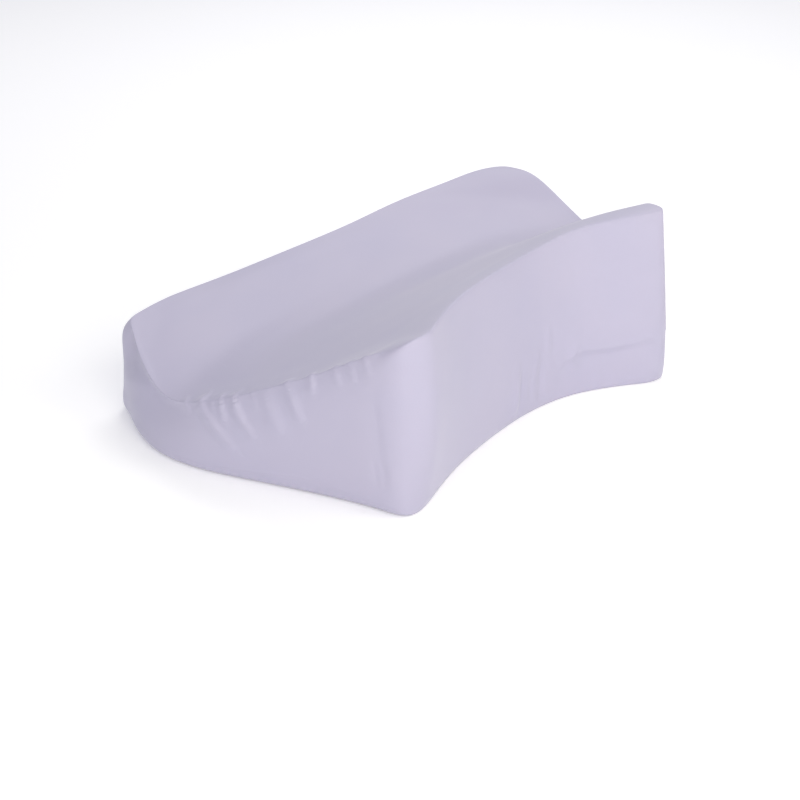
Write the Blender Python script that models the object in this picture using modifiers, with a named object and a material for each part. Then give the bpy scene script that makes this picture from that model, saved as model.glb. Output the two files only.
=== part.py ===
"""Contoured foam leg pillow in a plain sateen cover: one filled cloth body.

The front wall curves inward, the top is scooped into a leg channel that
runs from the low left end to the right end, and the base is flat.
"""
import bmesh
import bpy
import numpy as np

MM = 0.001

# Body sections, one row from the left end to the right end, in millimetres.
# near and far are the plan ends of the section, bow pushes its middle along X.
# near_h, trough_h and far_h are the heights of the front crest, the leg
# channel and the far ridge; trough_at is a fraction across. crest and
# shoulder shape the two slopes of the channel.
SECTION_COLUMNS = (
    "near_x", "near_y", "far_x", "far_y", "bow",
    "near_h", "trough_at", "trough_h", "far_h", "crest", "shoulder",
)
SECTIONS = (
    (-139, -128, -134, 114, -32, 118, 0.68, 38, 66, 0.0, 0.0),
    (-123, -131, -123, 115, -30, 119, 0.67, 39, 67, 0.1, 0.0),
    (-97, -120, -97, 114, -23, 118, 0.63, 42, 69, 0.5, 0.0),
    (-60, -104, -52, 107, -12, 116, 0.57, 48, 73, 0.8, 0.0),
    (-14, -94, -1, 97, -4, 115, 0.52, 54, 78, 0.9, 0.0),
    (32, -89, 49, 88, 1, 115, 0.50, 61, 84, 1.0, 0.1),
    (72, -94, 91, 81, 6, 118, 0.47, 67, 90, 1.0, 0.3),
    (105, -111, 128, 72, 11, 123, 0.44, 72, 96, 0.9, 0.6),
    (120, -122, 155, 63, 15, 126, 0.42, 75, 101, 0.8, 0.9),
    (128, -124, 171, 54, 15, 127, 0.42, 75, 106, 0.7, 1.0),
)
ACROSS = (0.0, 0.06, 0.14, 0.27, 0.42, 0.57, 0.72, 0.86, 0.955, 1.0)
LEVELS = (0.0, 0.08, 0.45, 0.90, 1.0)
WALL_OUT = (1.5, 4.0, 3.2, 0.7, 0.0)
BOW_SKEW = 1.6
END_LEAN = 4.5
INNER_POWER = 1.5
FAR_POWER = 1.25
SHOULDER_POWER = 1.9
CREST_WIDTH = 0.10

# Gathers of the cover under the low edge of the left wall: the line of each
# from its top to its foot, then its half width and its height.
GATHER_COLUMNS = ("top_y", "top_z", "foot_y", "foot_z", "half_width", "height")
GATHERS = (
    (13, 42, -12, 16, 3.2, 1.5),
    (0, 45, -5, 34, 2.6, 1.1),
    (-11, 47, -23, 27, 3.4, 1.7),
    (-30, 54, -42, 36, 4.5, 1.0),
    (-46, 61, -55, 42, 3.2, 1.5),
    (-62, 69, -66, 59, 2.8, 1.0),
    (-75, 76, -79, 67, 2.8, 0.9),
)
GATHER_BAND = (-95.0, 30.0, 12.0)

COVER_COLOUR = (0.56, 0.54, 0.68, 1.0)
COVER_ROUGHNESS = 0.55


def clear_scene():
    for obj in list(bpy.data.objects):
        bpy.data.objects.remove(obj, do_unlink=True)


def crown_height(row, t):
    """Height of the top at fraction t across a section: crest, channel, far rise."""
    low = row["trough_h"]
    at = row["trough_at"]
    bowl = np.clip((at - t) / at, 0.0, 1.0) ** INNER_POWER
    inner = np.clip((at - t) / (at - CREST_WIDTH), 0.0, 1.0)
    ridge = 0.5 - 0.5 * np.cos(np.pi * inner)
    near = (row["near_h"] - low) * ((1.0 - row["crest"]) * bowl + row["crest"] * ridge)
    outer = np.clip((t - at) / (1.0 - at), 0.0, 1.0)
    slope = outer ** FAR_POWER
    shoulder = 1.0 - (1.0 - outer) ** SHOULDER_POWER
    far = (1.0 - row["shoulder"]) * slope + row["shoulder"] * shoulder
    return low + near + (row["far_h"] - low) * far


def lattice():
    """Points of the body cage on a box lattice: section, fraction across, level."""
    rows = [dict(zip(SECTION_COLUMNS, row)) for row in SECTIONS]
    t = np.array(ACROSS)
    level = np.array(LEVELS)
    out = np.array(WALL_OUT)
    points = np.zeros((len(rows), len(t), len(level), 3))
    for i, row in enumerate(rows):
        bow = row["bow"] * np.sin(np.pi * t ** BOW_SKEW)
        x = row["near_x"] + (row["far_x"] - row["near_x"]) * t + bow
        y = row["near_y"] + (row["far_y"] - row["near_y"]) * t
        points[i, :, :, 0] = x[:, None]
        points[i, :, :, 1] = y[:, None]
        points[i, :, :, 2] = crown_height(row, t)[:, None] * level[None, :]
    points[:, 0, :, 1] -= out
    points[:, -1, :, 1] += out
    points[0, :, :, 0] -= out
    points[-1, :, :, 0] += out
    lean = END_LEAN * np.clip((t - 0.40) / 0.30, 0.0, 1.0)
    points[0, :, :, 0] -= lean[:, None] * (1.0 - level[None, :])
    return points * MM


def cage_mesh(points):
    """Closed quad mesh over the six sides of the lattice."""
    shell = np.ones(points.shape[:3], bool)
    shell[1:-1, 1:-1, 1:-1] = False
    index = np.cumsum(shell.ravel()).reshape(shell.shape) - 1
    sides = (
        (index[:, :, -1], False),
        (index[:, :, 0], True),
        (index[:, 0, :], False),
        (index[:, -1, :], True),
        (index[0, :, :], True),
        (index[-1, :, :], False),
    )
    faces = []
    for grid, flip in sides:
        corners = (grid[:-1, :-1], grid[1:, :-1], grid[1:, 1:], grid[:-1, 1:])
        quads = np.stack(corners, axis=-1).reshape(-1, 4)
        faces.extend((quads[:, ::-1] if flip else quads).tolist())
    mesh = bpy.data.meshes.new("pillow_cage")
    mesh.from_pydata(points[shell].tolist(), [], faces)
    mesh.update()
    return mesh


def gather_height(y, z):
    """Height in millimetres of the gathered cloth at a place on the left wall."""
    total = np.zeros_like(y)
    for row in GATHERS:
        fold = dict(zip(GATHER_COLUMNS, row))
        run_y = fold["foot_y"] - fold["top_y"]
        run_z = fold["foot_z"] - fold["top_z"]
        length = np.hypot(run_y, run_z)
        along = ((y - fold["top_y"]) * run_y + (z - fold["top_z"]) * run_z) / length
        aside = ((z - fold["top_z"]) * run_y - (y - fold["top_y"]) * run_z) / length
        past = np.maximum(np.maximum(-4.0 - along, along - length), 0.0)
        fade = np.exp(-(past / 5.0) ** 2)
        ripple = (aside / fold["half_width"]) ** 2
        total += fold["height"] * fade * (1.0 - 0.6 * ripple) * np.exp(-0.5 * ripple)
    return total


def faceted_body(cage, collection):
    """Rounded body with the cover's gathers, centred over its flat base."""
    rounding = cage.modifiers.new("rounding", "SUBSURF")
    rounding.levels = 2
    rounding.render_levels = 2
    graph = bpy.context.evaluated_depsgraph_get()
    mesh = bpy.data.meshes.new_from_object(cage.evaluated_get(graph))
    bpy.data.objects.remove(cage, do_unlink=True)
    bm = bmesh.new()
    bm.from_mesh(mesh)
    base = [f for f in bm.faces if max(v.co.z for v in f.verts) < 1e-6]
    inside = {e for f in base for e in f.edges if all(g in base for g in e.link_faces)}
    bmesh.ops.dissolve_edges(bm, edges=list(inside), use_verts=True)
    near_y, far_y, low_z = (value * MM for value in GATHER_BAND)
    strips = []
    for edge in bm.edges:
        a, b = (v.co for v in edge.verts)
        normal = sum((f.normal.x for f in edge.link_faces), 0.0) / 2
        level_edge = abs(a.y - b.y) > 1.2 * abs(a.z - b.z) + abs(a.x - b.x)
        inside_band = near_y < (a.y + b.y) / 2 < far_y and (a.z + b.z) / 2 > low_z
        if normal < -0.35 and level_edge and inside_band:
            strips.append(edge)
    bmesh.ops.subdivide_edges(bm, edges=strips, cuts=3, use_grid_fill=True)
    bm.normal_update()
    for vert in bm.verts:
        facing = np.clip((-vert.normal.x - 0.25) / 0.4, 0.0, 1.0)
        if facing > 0.0 and vert.co.z > low_z:
            rise = gather_height(np.array([vert.co.y / MM]), np.array([vert.co.z / MM]))
            vert.co += vert.normal * float(rise[0] * facing) * MM
    sides = np.array([vert.co[:2] for vert in bm.verts])
    middle = (sides.min(axis=0) + sides.max(axis=0)) / 2
    bmesh.ops.translate(bm, verts=bm.verts, vec=(-middle[0], -middle[1], 0.0))
    bm.to_mesh(mesh)
    bm.free()
    mesh.name = "pillow"
    body = bpy.data.objects.new("pillow", mesh)
    collection.objects.link(body)
    return body


def cover_material():
    material = bpy.data.materials.new("cover_fabric")
    material.use_nodes = True
    shader = material.node_tree.nodes["Principled BSDF"]
    shader.inputs["Base Color"].default_value = COVER_COLOUR
    shader.inputs["Roughness"].default_value = COVER_ROUGHNESS
    shader.inputs["Metallic"].default_value = 0.0
    return material


def build():
    clear_scene()
    parts = bpy.data.collections.new("leg_pillow")
    bpy.context.scene.collection.children.link(parts)
    cage = bpy.data.objects.new("pillow_cage", cage_mesh(lattice()))
    parts.objects.link(cage)
    body = faceted_body(cage, parts)
    body.data.materials.append(cover_material())
    return body


build()
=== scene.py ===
"""Contoured foam leg pillow in a plain cotton sateen cover, on a pale floor.

The cover is one padded body. A box lattice of named sections is rounded by
subdivision, the slack of the cloth comes from a short cloth simulation, and
the gathers, creases and soft folds are height fields laid over it afterwards.
"""
import math

import bpy
import numpy as np
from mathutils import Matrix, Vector


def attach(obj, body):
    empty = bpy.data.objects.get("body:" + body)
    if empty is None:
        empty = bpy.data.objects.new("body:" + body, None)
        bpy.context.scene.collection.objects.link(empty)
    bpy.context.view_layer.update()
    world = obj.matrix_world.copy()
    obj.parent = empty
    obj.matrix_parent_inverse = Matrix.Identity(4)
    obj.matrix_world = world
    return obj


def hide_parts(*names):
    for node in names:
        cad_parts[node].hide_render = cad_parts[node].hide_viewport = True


bl_info = {
    "name": "Contoured Leg Pillow",
    "version": (1, 0, 0),
    "blender": (4, 5, 0),
    "location": "3D View > Sidebar > Leg Pillow",
    "description": "A foam leg pillow in a sateen cover, with its floor, lights and camera",
    "category": "Add Mesh",
}

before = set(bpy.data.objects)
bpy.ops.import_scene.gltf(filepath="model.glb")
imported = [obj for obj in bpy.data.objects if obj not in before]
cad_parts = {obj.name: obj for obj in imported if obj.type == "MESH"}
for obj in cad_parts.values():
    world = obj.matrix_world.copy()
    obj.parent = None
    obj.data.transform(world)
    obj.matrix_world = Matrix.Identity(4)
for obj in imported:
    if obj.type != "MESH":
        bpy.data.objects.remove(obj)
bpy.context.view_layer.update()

MM = 0.001

# Plan centre of the tables below, which the finished pillow has at its origin.
TABLE_CENTRE = np.array([2.45, -7.28, 0.0])

# Body sections, one row from the left end to the right end, in millimetres.
SECTION_COLUMNS = (
    "near_x", "near_y", "far_x", "far_y", "bow", "near_h", "fall", "crest",
    "trough_at", "trough_h", "far_h", "rise", "shoulder",
)
SECTIONS = (
    (-139, -128, -132, 114, -34, 118, 1.35, 0.0, 0.72, 38, 64, 1.2, 0.0),
    (-120, -131, -121, 115, -31, 119, 1.40, 0.0, 0.71, 43, 65, 1.3, 0.0),
    (-97, -120, -97, 114, -23, 118, 1.50, 0.0, 0.69, 51, 68, 1.4, 0.0),
    (-60, -104, -52, 107, -12, 116, 1.55, 0.1, 0.65, 59, 71, 1.6, 0.0),
    (-14, -94, -1, 97, -4, 115, 1.55, 0.15, 0.61, 66, 77, 1.9, 0.0),
    (32, -89, 49, 88, 1, 115, 1.55, 0.25, 0.58, 71, 83, 2.0, 0.0),
    (72, -94, 91, 81, 6, 120, 1.55, 0.45, 0.55, 75, 90, 2.0, 0.0),
    (105, -111, 128, 72, 11, 122, 1.55, 0.8, 0.51, 77, 95, 1.8, 0.05),
    (120, -122, 161, 61, 15, 124, 1.55, 0.9, 0.48, 78, 101, 1.7, 0.19),
    (128, -124, 179, 49, 15, 125, 1.55, 0.9, 0.46, 78, 102, 1.6, 0.23),
)
ACROSS = (0.0, 0.08, 0.15, 0.27, 0.42, 0.57, 0.72, 0.86, 0.955, 1.0)
LEVELS = (0.0, 0.08, 0.45, 0.90, 1.0)

# How far each level of a wall stands out from the plain wall, from the foot up
# to the rim: the front and back walls, then the left and the right end.
WALL_OUT = (0.4, 2.9, 4.0, 1.2, 0.0)
LEFT_OUT = (-2.5, 2.6, 4.4, 2.4, 0.0)
RIGHT_OUT = (7.0, 8.0, 3.0, -1.8, -1.4)

# Offsets of single lattice points, from the foot up: the low back corner of
# the left end, and the front left corner, which is drawn in below its rim.
EAR_OUT = ((-2, 3, 0), (-2, 3, 0), (1, 0, 0), (-6, 6, 0), (0, 0, 0))
CORNER_IN = ((0, 0, 0), (3, 3, 0), (3, 4, 0), (3, 4, 0))

# Offsets of the two lowest levels of the front wall in its first sections,
# where the corner narrows towards its foot.
FOOT_IN = ((-1, 1, 0), (0, 5, 0), (0, 3, 0))

# The back of the left end is drawn in just below its rim, from this column on.
RIM_FROM = 6
RIM_IN = 5.0

# The bow is widest behind the middle of a section. The left end leans out at
# its foot, from a fraction across and to the full over the next one. The front
# crest is the last fraction of a section wide.
BOW_SKEW = 1.6
END_LEAN = 5.5
LEAN_FROM = 0.40
LEAN_OVER = 0.30
CREST_WIDTH = 0.07

# How crisp the cover is folded over each edge of the foam, from 0 to 1. The
# feet are where the walls meet the flat base.
EDGE_CRISPNESS = {
    "left": 0.50, "far": 0.42, "front": 0.30, "right": 0.30,
    "left_foot": 0.20, "front_foot": 0.45, "right_foot": 0.70,
}

# The left rim is crisp from this column on, so that the front corner stays round.
LEFT_CRISP_FROM = 1

# The cover's cloth in the simulation. The grip is the weight of the light
# springs that hold each point to the foam.
CLOTH_FRAMES = 20
CLOTH_PRESSURE = 4.0
FOAM_GRIP = 0.1
EVENING_STEPS = 12

# Folds of the cover as lines along it, in millimetres of the tables' frame.
# rise is the height of the fold's ridge, and a negative rise is a crease. The
# hems are the low ridges just above the base, where the cloth turns under.
FOLD_COLUMNS = ("name", "left_width", "right_width", "rise", "line")
FOLDS = (
    ("gather_1", 1.4, 4.5, 2.8, ((-158, 14, 48), (-167, 10, 44), (-168, 0, 37), (-166, -17, 23))),
    ("gather_2", 1.2, 3.0, 2.0, ((-158, -2, 53), (-165, -5, 48), (-166, -9, 39))),
    ("gather_3", 1.4, 3.6, 2.6, ((-157, -12, 57), (-164, -16, 50), (-163, -22, 42), (-162, -31, 34))),
    ("gather_4", 3.0, 5.0, 2.0, ((-154, -33, 63), (-158, -40, 53), (-157, -49, 40))),
    ("gather_5", 2.0, 3.5, 2.2, ((-150, -46, 74), (-153, -54, 64), (-154, -62, 51))),
    ("gather_6", 1.4, 3.0, 1.5, ((-146, -62, 83), (-150, -66, 76), (-150, -68, 70))),
    ("gather_7", 1.4, 2.6, 1.0, ((-140, -76, 90), (-146, -82, 84), (-146, -85, 79))),
    ("gather_8", 1.2, 2.4, 0.9, ((-162, 30, 43), (-167, 25, 40), (-168, 20, 36))),
    ("gather_9", 1.2, 2.4, 0.8, ((-158, 5, 50), (-165, 2, 46), (-167, -1, 42))),
    ("gather_10", 1.4, 2.4, 0.8, ((-153, -24, 61), (-160, -27, 57), (-161, -31, 51))),
    ("gather_11", 1.6, 2.4, 0.9, ((-137, -86, 95), (-144, -92, 89), (-145, -96, 84))),
    ("gather_12", 1.6, 2.4, 0.9, ((-136, -96, 101), (-143, -102, 96), (-144, -105, 91))),
    (
        "corner_crease", 2.5, 5.0, -0.7,
        ((-144, -107, 84), (-144, -110, 60), (-144, -114, 35), (-142, -117, 8)),
    ),
    ("corner_wrinkle_1", 1.3, 1.6, -0.5, ((-144, -108, 36), (-144, -109, 28), (-143, -110, 18))),
    ("corner_wrinkle_2", 1.3, 1.6, -0.5, ((-143, -114, 36), (-143, -116, 28), (-143, -116, 19))),
    ("wall_fold_1", 2.6, 3.4, 1.8, ((6, -95, 44), (8, -95, 22), (10, -94, 8))),
    ("wall_fold_2", 2.4, 2.4, -1.3, ((14, -95, 40), (15, -94, 20), (16, -93, 6))),
    ("wall_fold_3", 3.0, 3.0, -1.5, ((34, -94, 36), (37, -94, 19), (40, -92, 6))),
    ("wall_fold_4", 1.6, 1.6, -0.6, ((25, -94, 27), (25, -94, 20), (26, -93, 13))),
    ("wall_fold_5", 2.0, 2.6, 1.1, ((30, -94, 44), (30, -94, 36), (31, -94, 27))),
    ("wall_fold_6", 2.0, 2.6, 1.2, ((41, -94, 58), (41, -94, 50), (42, -94, 41))),
    ("wall_fold_7", 2.6, 3.2, 1.4, ((65, -98, 41), (65, -98, 31), (67, -98, 20))),
    ("wall_tuck", 9.0, 2.5, 2.5, ((50, -94, 27), (66, -98, 35), (91, -108, 33), (126, -126, 36))),
    ("end_fold", 5.0, 5.0, 1.6, ((-144, 108, 27), (-153, 90, 33), (-159, 74, 36), (-163, 62, 34))),
    ("end_rim", 1.6, 1.6, 0.35, ((-131, 112, 64), (-145, 92, 54), (-155, 72, 46), (-163, 56, 38))),
    ("crest_pucker", 1.8, 1.8, 0.5, ((77, -98, 117), (84, -100, 118), (91, -103, 119))),
    ("hem_left", 1.0, 1.0, 0.5, ((-172, 22, 7), (-166, -18, 9), (-154, -60, 13), (-145, -94, 10))),
    ("hem_corner", 1.0, 1.0, 0.5, ((-143, -108, 9), (-139, -127, 9), (-120, -130, 6))),
)

# Softboxes round the floor: name, place and width in metres, power in watts
# and colour.
SOFTBOXES = (
    ("softbox_left", (-0.6, -0.9, 0.8), 0.8, 5.5, (1.0, 0.97, 0.88)),
    ("softbox_front", (0.12, -0.66, 0.6), 0.5, 1.4, (1.0, 0.97, 0.85)),
    ("softbox_back", (0.7, 0.5, 1.0), 0.8, 4.9, (1.0, 0.98, 0.97)),
    ("softbox_low", (-2.25, -1.3, 1.5), 1.9, 20.0, (1.0, 0.97, 0.89)),
)
LIGHTS_LOOK_AT = (0.0, 0.0, 0.05)
SKY_COLOUR = (0.96, 0.98, 1.09, 1.0)
FLOOR_REACH = 6.0

# The point that the camera looks at, in metres of the tables' frame.
CAMERA_LOOKS_AT = (-0.01056, -0.01254, 0.0)


class PillowSettings(bpy.types.PropertyGroup):
    """Sizes and colours of the pillow and its cover."""

    fill: bpy.props.FloatProperty(
        name="Fill",
        description="How tightly the foam fills its cover, from slack to tight",
        default=0.9, min=0.0, max=1.0, subtype="FACTOR",
    )
    slack: bpy.props.FloatProperty(
        name="Cover slack",
        description="Furthest that the cloth may drift from the foam in the simulation",
        default=0.0015, min=0.0, max=0.010, unit="LENGTH",
    )
    inset: bpy.props.FloatProperty(
        name="Start inset",
        description="How far inside its finished shape the cloth starts to swell",
        default=0.0009, min=0.0, max=0.010, unit="LENGTH",
    )
    foot: bpy.props.FloatProperty(
        name="Foot height",
        description="Height above the floor up to which the pillow's weight holds the cloth",
        default=0.012, min=0.001, max=0.050, unit="LENGTH",
    )
    thread: bpy.props.FloatProperty(
        name="Thread spacing",
        description="Spacing of the drawn weave along the cloth",
        default=0.0008, min=0.0002, max=0.005, unit="LENGTH",
    )
    cloth_hex: bpy.props.StringProperty(
        name="Cloth colour",
        description="Colour of the dyed sateen, as an sRGB hex value",
        default="bab5c9",
    )
    shade_hex: bpy.props.StringProperty(
        name="Cloth shade",
        description="Colour of the cloth in its cloudy darker patches, as an sRGB hex value",
        default="b5b2c9",
    )


class StageSettings(bpy.types.PropertyGroup):
    """Floor, lights and camera."""

    floor_hex: bpy.props.StringProperty(
        name="Floor colour",
        description="Colour of the plain floor, as an sRGB hex value",
        default="fbfbfb",
    )
    floor_glow: bpy.props.FloatProperty(
        name="Floor glow",
        description="Light that the floor gives off, so that it is as white as an overexposed sweep",
        default=0.15, min=0.0,
    )
    light_power: bpy.props.FloatProperty(
        name="Softboxes",
        description="Strength of all the softboxes together",
        default=1.02, min=0.0,
    )
    sky: bpy.props.FloatProperty(
        name="Sky",
        description="Strength of the even light from all round",
        default=0.43, min=0.0,
    )
    view_azimuth: bpy.props.FloatProperty(
        name="View azimuth",
        description="Direction that the camera stands in, turned from the front",
        default=math.radians(-48.9), subtype="ANGLE",
    )
    view_height: bpy.props.FloatProperty(
        name="View height",
        description="Angle of the camera above the floor",
        default=math.radians(25.0), subtype="ANGLE",
    )
    view_distance: bpy.props.FloatProperty(
        name="View distance",
        description="Distance of the camera from the point that it looks at",
        default=1.4972, min=0.1, unit="LENGTH",
    )
    view_angle: bpy.props.FloatProperty(
        name="View angle",
        description="Field of view of the camera",
        default=math.radians(20.0), subtype="ANGLE",
    )


def linear(value):
    """The sRGB hex value as linear red, green, blue and an alpha of one."""
    code = np.array([int(value[i:i + 2], 16) for i in (0, 2, 4)]) / 255.0
    low = code / 12.92
    high = ((code + 0.055) / 1.055) ** 2.4
    return (*np.where(code <= 0.04045, low, high).tolist(), 1.0)


def crown_height(row, t):
    """Height of the top at fraction t across a section.

    From the channel's lowest point towards the front it climbs as a blend of
    a power of the distance and a half cosine wave. Towards the back it climbs
    as a power of the distance up to a level shoulder.
    """
    low = row["trough_h"]
    at = row["trough_at"]
    bowl = np.clip((at - t) / at, 0.0, 1.0) ** row["fall"]
    inner = np.clip((at - t) / (at - CREST_WIDTH), 0.0, 1.0)
    ridge = 0.5 - 0.5 * np.cos(np.pi * inner)
    near = (row["near_h"] - low) * ((1.0 - row["crest"]) * bowl + row["crest"] * ridge)
    outer = (t - at) / (1.0 - at) / (1.0 - row["shoulder"])
    far = np.clip(outer, 0.0, 1.0) ** row["rise"]
    return low + near + (row["far_h"] - low) * far


def body_lattice():
    """Points of the foam block on a box lattice: section, fraction across, level.

    Each section is a straight line in plan, bowed along X by a skewed sine,
    and its height is the crown times the level. The four walls stand out by
    a few millimetres at mid height, and the left end leans out at its foot.
    The low back corner, the front left corner with the foot beside it and the
    rim of the left end are then moved by the offsets in their tables.
    """
    rows = [dict(zip(SECTION_COLUMNS, row)) for row in SECTIONS]
    t = np.array(ACROSS)
    level = np.array(LEVELS)
    out = np.array(WALL_OUT)
    points = np.zeros((len(rows), len(t), len(level), 3))
    for i, row in enumerate(rows):
        bow = row["bow"] * np.sin(np.pi * t ** BOW_SKEW)
        points[i, :, :, 0] = (row["near_x"] + (row["far_x"] - row["near_x"]) * t + bow)[:, None]
        points[i, :, :, 1] = (row["near_y"] + (row["far_y"] - row["near_y"]) * t)[:, None]
        points[i, :, :, 2] = crown_height(row, t)[:, None] * level[None, :]
    points[:, 0, :, 1] -= out
    points[:, -1, :, 1] += out
    points[0, :, :, 0] -= np.array(LEFT_OUT)
    points[-1, :, :, 0] += np.array(RIGHT_OUT)
    lean = END_LEAN * np.clip((t - LEAN_FROM) / LEAN_OVER, 0.0, 1.0)
    points[0, :, :, 0] -= lean[:, None] * (1.0 - level[None, :])
    points[0, -1] += np.array(EAR_OUT)
    points[0, 0, :-1] += np.array(CORNER_IN)
    points[:len(FOOT_IN), 0, :2] += np.array(FOOT_IN)[:, None]
    points[0, RIM_FROM:-1, -2, 0] += RIM_IN
    return points


def halved(points, axis):
    """The lattice with a layer more between each two inner layers along an axis.

    Each new layer lies on the cubic through the four layers nearest to it.
    The two end pairs stay as they are, so that the corners keep their rounding.
    """
    old = np.moveaxis(points, axis, 0)
    between = (9.0 * (old[1:-2] + old[2:-1]) - old[:-3] - old[3:]) / 16.0
    new = np.empty((len(old) + len(between), *old.shape[1:]))
    new[0] = old[0]
    new[1:-1:2] = old[1:-1]
    new[2:-2:2] = between
    new[-1] = old[-1]
    return np.moveaxis(new, 0, axis)


def shell_mesh(name, points):
    """Closed quad mesh over the six sides of a lattice of points."""
    shell = np.ones(points.shape[:3], bool)
    shell[1:-1, 1:-1, 1:-1] = False
    index = np.cumsum(shell.ravel()).reshape(shell.shape) - 1
    sides = (
        (index[:, :, -1], False),
        (index[:, :, 0], True),
        (index[:, 0, :], False),
        (index[:, -1, :], True),
        (index[0, :, :], True),
        (index[-1, :, :], False),
    )
    faces = []
    for grid, flip in sides:
        corners = (grid[:-1, :-1], grid[1:, :-1], grid[1:, 1:], grid[:-1, 1:])
        quads = np.stack(corners, axis=-1).reshape(-1, 4)
        faces.extend((quads[:, ::-1] if flip else quads).tolist())
    mesh = bpy.data.meshes.new(name)
    mesh.from_pydata((points[shell] * MM).tolist(), [], faces)
    mesh.update()
    top = index[:, :, -1]
    foot = index[:, :, 0]
    lines = {
        "left": top[0, LEFT_CRISP_FROM:],
        "far": top[:, -1],
        "front": top[:, 0],
        "right": top[-1, :],
        "left_foot": foot[0, :],
        "front_foot": foot[:, 0],
        "right_foot": foot[-1, :],
    }
    ends = np.empty(len(mesh.edges) * 2, np.int32)
    mesh.edges.foreach_get("vertices", ends)
    ends = np.sort(ends.reshape(-1, 2), axis=1)
    keys = ends[:, 0] * len(mesh.vertices) + ends[:, 1]
    crisp = np.zeros(len(keys), np.float32)
    for side, line in lines.items():
        pairs = np.sort(np.stack((line[:-1], line[1:]), axis=1), axis=1)
        chosen = np.isin(keys, pairs[:, 0] * len(mesh.vertices) + pairs[:, 1])
        crisp[chosen] = EDGE_CRISPNESS[side]
    mesh.attributes.new("crease_edge", "FLOAT", "EDGE").data.foreach_set("value", crisp)
    return mesh


def coordinates(mesh):
    """Vertex coordinates of a mesh as rows of x, y and z."""
    flat = np.empty(len(mesh.vertices) * 3, np.float32)
    mesh.vertices.foreach_get("co", flat)
    return flat.reshape(-1, 3).astype(float)


def normals(mesh):
    """Vertex normals of a mesh as rows of x, y and z."""
    flat = np.empty(len(mesh.vertices) * 3, np.float32)
    mesh.vertex_normals.foreach_get("vector", flat)
    return flat.reshape(-1, 3).astype(float)


def place(mesh, points):
    """Moves the vertices of a mesh to these points."""
    mesh.vertices.foreach_set("co", points.astype(np.float32).ravel())
    mesh.update()


def refined(piece, levels):
    """The piece with that many steps of subdivision worked into its mesh."""
    rounding = piece.modifiers.new("rounding", "SUBSURF")
    rounding.levels = levels
    rounding.render_levels = levels
    graph = bpy.context.evaluated_depsgraph_get()
    mesh = bpy.data.meshes.new_from_object(piece.evaluated_get(graph))
    piece.modifiers.clear()
    piece.data = mesh
    return piece


def swell(piece, inset, slack, foot):
    """Short cloth simulation: the cover swells from inside its shape and settles.

    It starts inset along its normals and is blown up by a light pressure
    without gravity, while light springs hold it to the foam. What is kept is
    how far each point then stands off the foam, less the mean of them all,
    bounded by the slack through a hyperbolic tangent. It fades to nothing
    over the height of the foot, where the pillow's weight holds the cloth on
    the floor, and is evened out between neighbours as the foam would do.
    """
    rest = coordinates(piece.data)
    outward = normals(piece.data)
    place(piece.data, rest - outward * inset)
    grip = piece.vertex_groups.new(name="foam_grip")
    grip.add(list(range(len(rest))), FOAM_GRIP, "REPLACE")
    cloth = piece.modifiers.new("cover_slack", "CLOTH")
    cloth.settings.quality = 6
    cloth.settings.mass = 0.15
    cloth.settings.tension_stiffness = 25.0
    cloth.settings.compression_stiffness = 25.0
    cloth.settings.shear_stiffness = 10.0
    cloth.settings.bending_stiffness = 0.2
    cloth.settings.use_pressure = True
    cloth.settings.uniform_pressure_force = CLOTH_PRESSURE
    cloth.settings.vertex_group_mass = grip.name
    cloth.settings.pin_stiffness = 1.0
    cloth.settings.effector_weights.gravity = 0.0
    cloth.collision_settings.use_collision = False
    cloth.point_cache.frame_start = 1
    cloth.point_cache.frame_end = CLOTH_FRAMES
    scene = bpy.context.scene
    for step in range(1, CLOTH_FRAMES + 1):
        scene.frame_set(step)
    graph = bpy.context.evaluated_depsgraph_get()
    settled = coordinates(piece.evaluated_get(graph).data)
    piece.modifiers.clear()
    scene.frame_set(1)
    drift = np.sum((settled - rest) * outward, axis=1)
    off = slack * np.tanh((drift - drift.mean()) / slack)
    off *= np.clip(rest[:, 2] / foot, 0.0, 1.0)
    ends = np.empty(len(piece.data.edges) * 2, np.int32)
    piece.data.edges.foreach_get("vertices", ends)
    a, b = ends.reshape(-1, 2).T
    count = np.bincount(ends, minlength=len(rest))
    for step in range(EVENING_STEPS):
        neighbours = np.bincount(a, off[b], len(rest)) + np.bincount(b, off[a], len(rest))
        off = 0.5 * off + 0.5 * neighbours / count
    place(piece.data, rest + outward * off[:, None])
    return piece


def line_distance(points, outward, path):
    """Distance from a path, fraction along it and whether it lies to the right.

    Right is the right hand of someone who stands on the cloth and looks along
    the path, from the sign of the cross product of the path and the normal.
    """
    best = np.full(len(points), 1e9)
    where = np.zeros(len(points))
    right = np.zeros(len(points), bool)
    steps = np.linalg.norm(np.diff(path, axis=0), axis=1)
    ends = np.concatenate([[0.0], np.cumsum(steps)]) / steps.sum()
    for i, (a, b) in enumerate(zip(path[:-1], path[1:])):
        along = np.clip((points - a) @ (b - a) / ((b - a) @ (b - a)), 0.0, 1.0)
        offset = points - a - along[:, None] * (b - a)
        away = np.linalg.norm(offset, axis=1)
        side = np.sum(offset * np.cross(b - a, outward), axis=1) > 0.0
        nearer = away < best
        best[nearer] = away[nearer]
        right[nearer] = side[nearer]
        where[nearer] = (ends[i] + along * (ends[i + 1] - ends[i]))[nearer]
    return best, where, right


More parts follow.
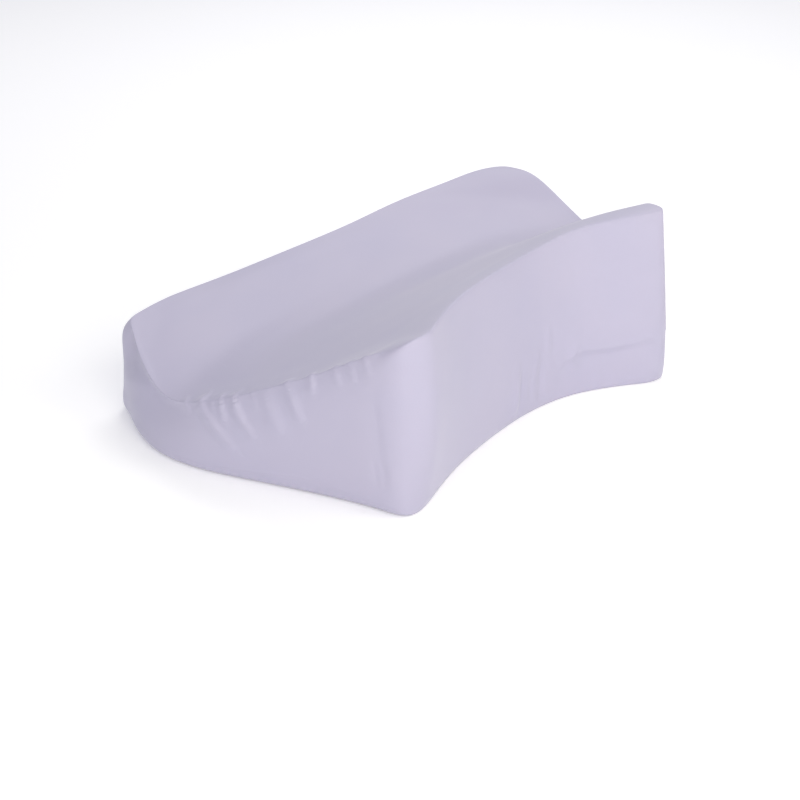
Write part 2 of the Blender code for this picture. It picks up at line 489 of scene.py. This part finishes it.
def fold_height(points, outward):
    """Height in millimetres of the folds at each point.

    Each fold is a bell curve across its line, of one width to its left and
    another to its right as in a tuck, and it fades towards the two ends of
    its line as the root of a sine.
    """
    total = np.zeros(len(points))
    for row in FOLDS:
        fold = dict(zip(FOLD_COLUMNS, row))
        path = np.array(fold["line"], float)
        reach = 4.0 * max(fold["left_width"], fold["right_width"])
        near = np.all((points > path.min(axis=0) - reach) & (points < path.max(axis=0) + reach), axis=1)
        away, along, right = line_distance(points[near], outward[near], path)
        width = np.where(right, fold["right_width"], fold["left_width"])
        fade = np.sqrt(np.sin(np.pi * np.clip(along, 0.01, 0.99)))
        total[near] += fold["rise"] * fade * np.exp(-0.5 * (away / width) ** 2)
    return total


def shader_nodes(name):
    """A new node material with an empty node tree."""
    material = bpy.data.materials.new(name)
    material.use_nodes = True
    material.node_tree.nodes.clear()
    return material


def add(material, kind, links=None, **values):
    """Adds a node. values set its own fields or inputs, links join sockets to inputs."""
    tree = material.node_tree
    node = tree.nodes.new(kind)
    for key, value in values.items():
        if hasattr(node, key):
            setattr(node, key, value)
        else:
            node.inputs[key.replace("_", " ")].default_value = value
    for key, source in (links or {}).items():
        tree.links.new(source, node.inputs[key])
    return node


def sateen(settings):
    """Cotton sateen: a dyed warp-faced weave, so long floats lie side by side.

    The floats give a soft broad sheen without a sharp highlight. The dye is
    a little uneven, in soft cloudy patches some centimetres wide.
    """
    material = shader_nodes("cover_fabric")
    place_at = add(material, "ShaderNodeTexCoord").outputs["Object"]
    cloud = add(material, "ShaderNodeTexNoise", {"Vector": place_at}, Scale=18.0, Detail=3.0)
    tint = add(
        material, "ShaderNodeMix", {"Factor": cloud.outputs["Fac"]},
        data_type="RGBA",
    )
    # Sockets 6 and 7 of a colour mix are its two colours, and output 2 the blend.
    tint.inputs[6].default_value = linear(settings.cloth_hex)
    tint.inputs[7].default_value = linear(settings.shade_hex)
    # The long floats of the warp run along the pillow, so the grain is drawn
    # several times as long as it is wide.
    floats = add(
        material, "ShaderNodeMapping", {"Vector": place_at}, Scale=(0.15, 1.0, 1.0),
    )
    # Sateen has about 40 threads to a centimetre, too fine to show from here,
    # so the drawn threads are about three times as coarse and very shallow.
    threads = add(
        material, "ShaderNodeTexNoise", {"Vector": floats.outputs["Vector"]},
        Scale=1.0 / settings.thread, Detail=2.0,
    )
    bump = add(
        material, "ShaderNodeBump", {"Height": threads.outputs["Fac"]},
        Strength=0.3, Distance=0.0002,
    )
    # Handling presses the floats flat in soft patches, which shine a little more.
    lustre = add(
        material, "ShaderNodeMapRange", {"Value": cloud.outputs["Fac"]},
        To_Min=0.50, To_Max=0.60,
    )
    shader = add(
        material, "ShaderNodeBsdfPrincipled",
        {
            "Base Color": tint.outputs[2],
            "Roughness": lustre.outputs["Result"],
            "Normal": bump.outputs["Normal"],
        },
        IOR=1.46,
    )
    shader.inputs["Sheen Weight"].default_value = 0.25
    shader.inputs["Sheen Roughness"].default_value = 0.4
    add(material, "ShaderNodeOutputMaterial", {"Surface": shader.outputs["BSDF"]})
    return material


def matt_floor(settings):
    """Seamless matt paper sweep, which shows only soft contact shadows."""
    material = shader_nodes("floor_paper")
    shader = add(material, "ShaderNodeBsdfPrincipled", Roughness=0.9)
    shader.inputs["Base Color"].default_value = linear(settings.floor_hex)
    shader.inputs["Emission Color"].default_value = (1.0, 1.0, 1.0, 1.0)
    shader.inputs["Emission Strength"].default_value = settings.floor_glow
    add(material, "ShaderNodeOutputMaterial", {"Surface": shader.outputs["BSDF"]})
    return material


def aimed(obj, at):
    """Turns a light or camera so that its own -Z axis looks at a point."""
    obj.rotation_euler = (Vector(at) - obj.location).to_track_quat("-Z", "Y").to_euler()
    return obj


def around(azimuth, height, distance):
    """The point at that azimuth, angle above the floor and distance."""
    flat = math.cos(height) * distance
    return Vector((math.sin(azimuth) * flat, -math.cos(azimuth) * flat, math.sin(height) * distance))


class PILLOW_OT_cover(bpy.types.Operator):
    """Make the padded cover of the pillow"""

    bl_idname = "pillow.cover"
    bl_label = "Cover"

    def execute(self, context):
        settings = context.scene.pillow_settings
        points = body_lattice() - TABLE_CENTRE
        for axis in range(3):
            points = halved(points, axis)
        mesh = shell_mesh("pillow_cover", points)
        cover = bpy.data.objects.new("pillow_cover", mesh)
        context.scene.collection.objects.link(cover)
        refined(cover, 2)
        swell(cover, settings.inset, settings.slack, settings.foot)
        refined(cover, 2)
        points = coordinates(cover.data)
        outward = normals(cover.data)
        rise = fold_height(points / MM + TABLE_CENTRE, outward)
        points += outward * rise[:, None] * MM
        points[:, 2] = np.maximum(points[:, 2], 0.0)
        place(cover.data, points)
        if not np.isfinite(points).all():
            raise RuntimeError("the cover has points that are not finite")
        cover.data.shade_smooth()
        cover.data.materials.clear()
        cover.data.materials.append(sateen(settings))
        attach(cover, "root")
        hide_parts("pillow")
        return {"FINISHED"}


class PILLOW_OT_stage(bpy.types.Operator):
    """Make the floor, the lights and the camera"""

    bl_idname = "pillow.stage"
    bl_label = "Stage"

    def execute(self, context):
        settings = context.scene.stage_settings
        scene = context.scene
        mesh = bpy.data.meshes.new("floor")
        far = FLOOR_REACH
        corners = [(-far, -far, 0.0), (far, -far, 0.0), (far, far, 0.0), (-far, far, 0.0)]
        mesh.from_pydata(corners, [], [(0, 1, 2, 3)])
        mesh.materials.append(matt_floor(settings))
        floor = bpy.data.objects.new("floor", mesh)
        scene.collection.objects.link(floor)

        world = bpy.data.worlds.new("studio")
        world.use_nodes = True
        sky = world.node_tree.nodes["Background"]
        sky.inputs["Color"].default_value = SKY_COLOUR
        sky.inputs["Strength"].default_value = settings.sky
        scene.world = world

        for name, place_at, size, power, colour in SOFTBOXES:
            light = bpy.data.lights.new(name, "AREA")
            light.shape = "DISK"
            light.size = size
            light.energy = power * settings.light_power
            light.color = colour
            lamp = bpy.data.objects.new(name, light)
            lamp.location = place_at
            aimed(lamp, LIGHTS_LOOK_AT)
            scene.collection.objects.link(lamp)

        target = Vector(CAMERA_LOOKS_AT) - Vector(TABLE_CENTRE * MM)
        lens = bpy.data.cameras.new("camera")
        lens.sensor_width = 36.0
        lens.angle = settings.view_angle
        camera = bpy.data.objects.new("camera", lens)
        camera.location = target + around(
            settings.view_azimuth, settings.view_height, settings.view_distance
        )
        aimed(camera, target)
        scene.collection.objects.link(camera)
        scene.camera = camera
        scene.view_settings.view_transform = "Standard"
        return {"FINISHED"}


class PILLOW_PT_sidebar(bpy.types.Panel):
    """Leg pillow in the 3D view's sidebar"""

    bl_idname = "PILLOW_PT_sidebar"
    bl_label = "Leg Pillow"
    bl_space_type = "VIEW_3D"
    bl_region_type = "UI"
    bl_category = "Leg Pillow"

    def draw(self, context):
        layout = self.layout
        for group, step in (
            (context.scene.pillow_settings, PILLOW_OT_cover),
            (context.scene.stage_settings, PILLOW_OT_stage),
        ):
            box = layout.box()
            for name in group.__annotations__:
                box.prop(group, name)
            box.operator(step.bl_idname)


CLASSES = (PillowSettings, StageSettings, PILLOW_OT_cover, PILLOW_OT_stage, PILLOW_PT_sidebar)


def register():
    for cls in CLASSES:
        bpy.utils.register_class(cls)
    bpy.types.Scene.pillow_settings = bpy.props.PointerProperty(type=PillowSettings)
    bpy.types.Scene.stage_settings = bpy.props.PointerProperty(type=StageSettings)


def unregister():
    del bpy.types.Scene.stage_settings
    del bpy.types.Scene.pillow_settings
    for cls in reversed(CLASSES):
        bpy.utils.unregister_class(cls)


def main():
    """Registers the add-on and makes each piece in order."""
    register()
    bpy.ops.pillow.cover()
    bpy.ops.pillow.stage()


if __name__ == "__main__":
    main()
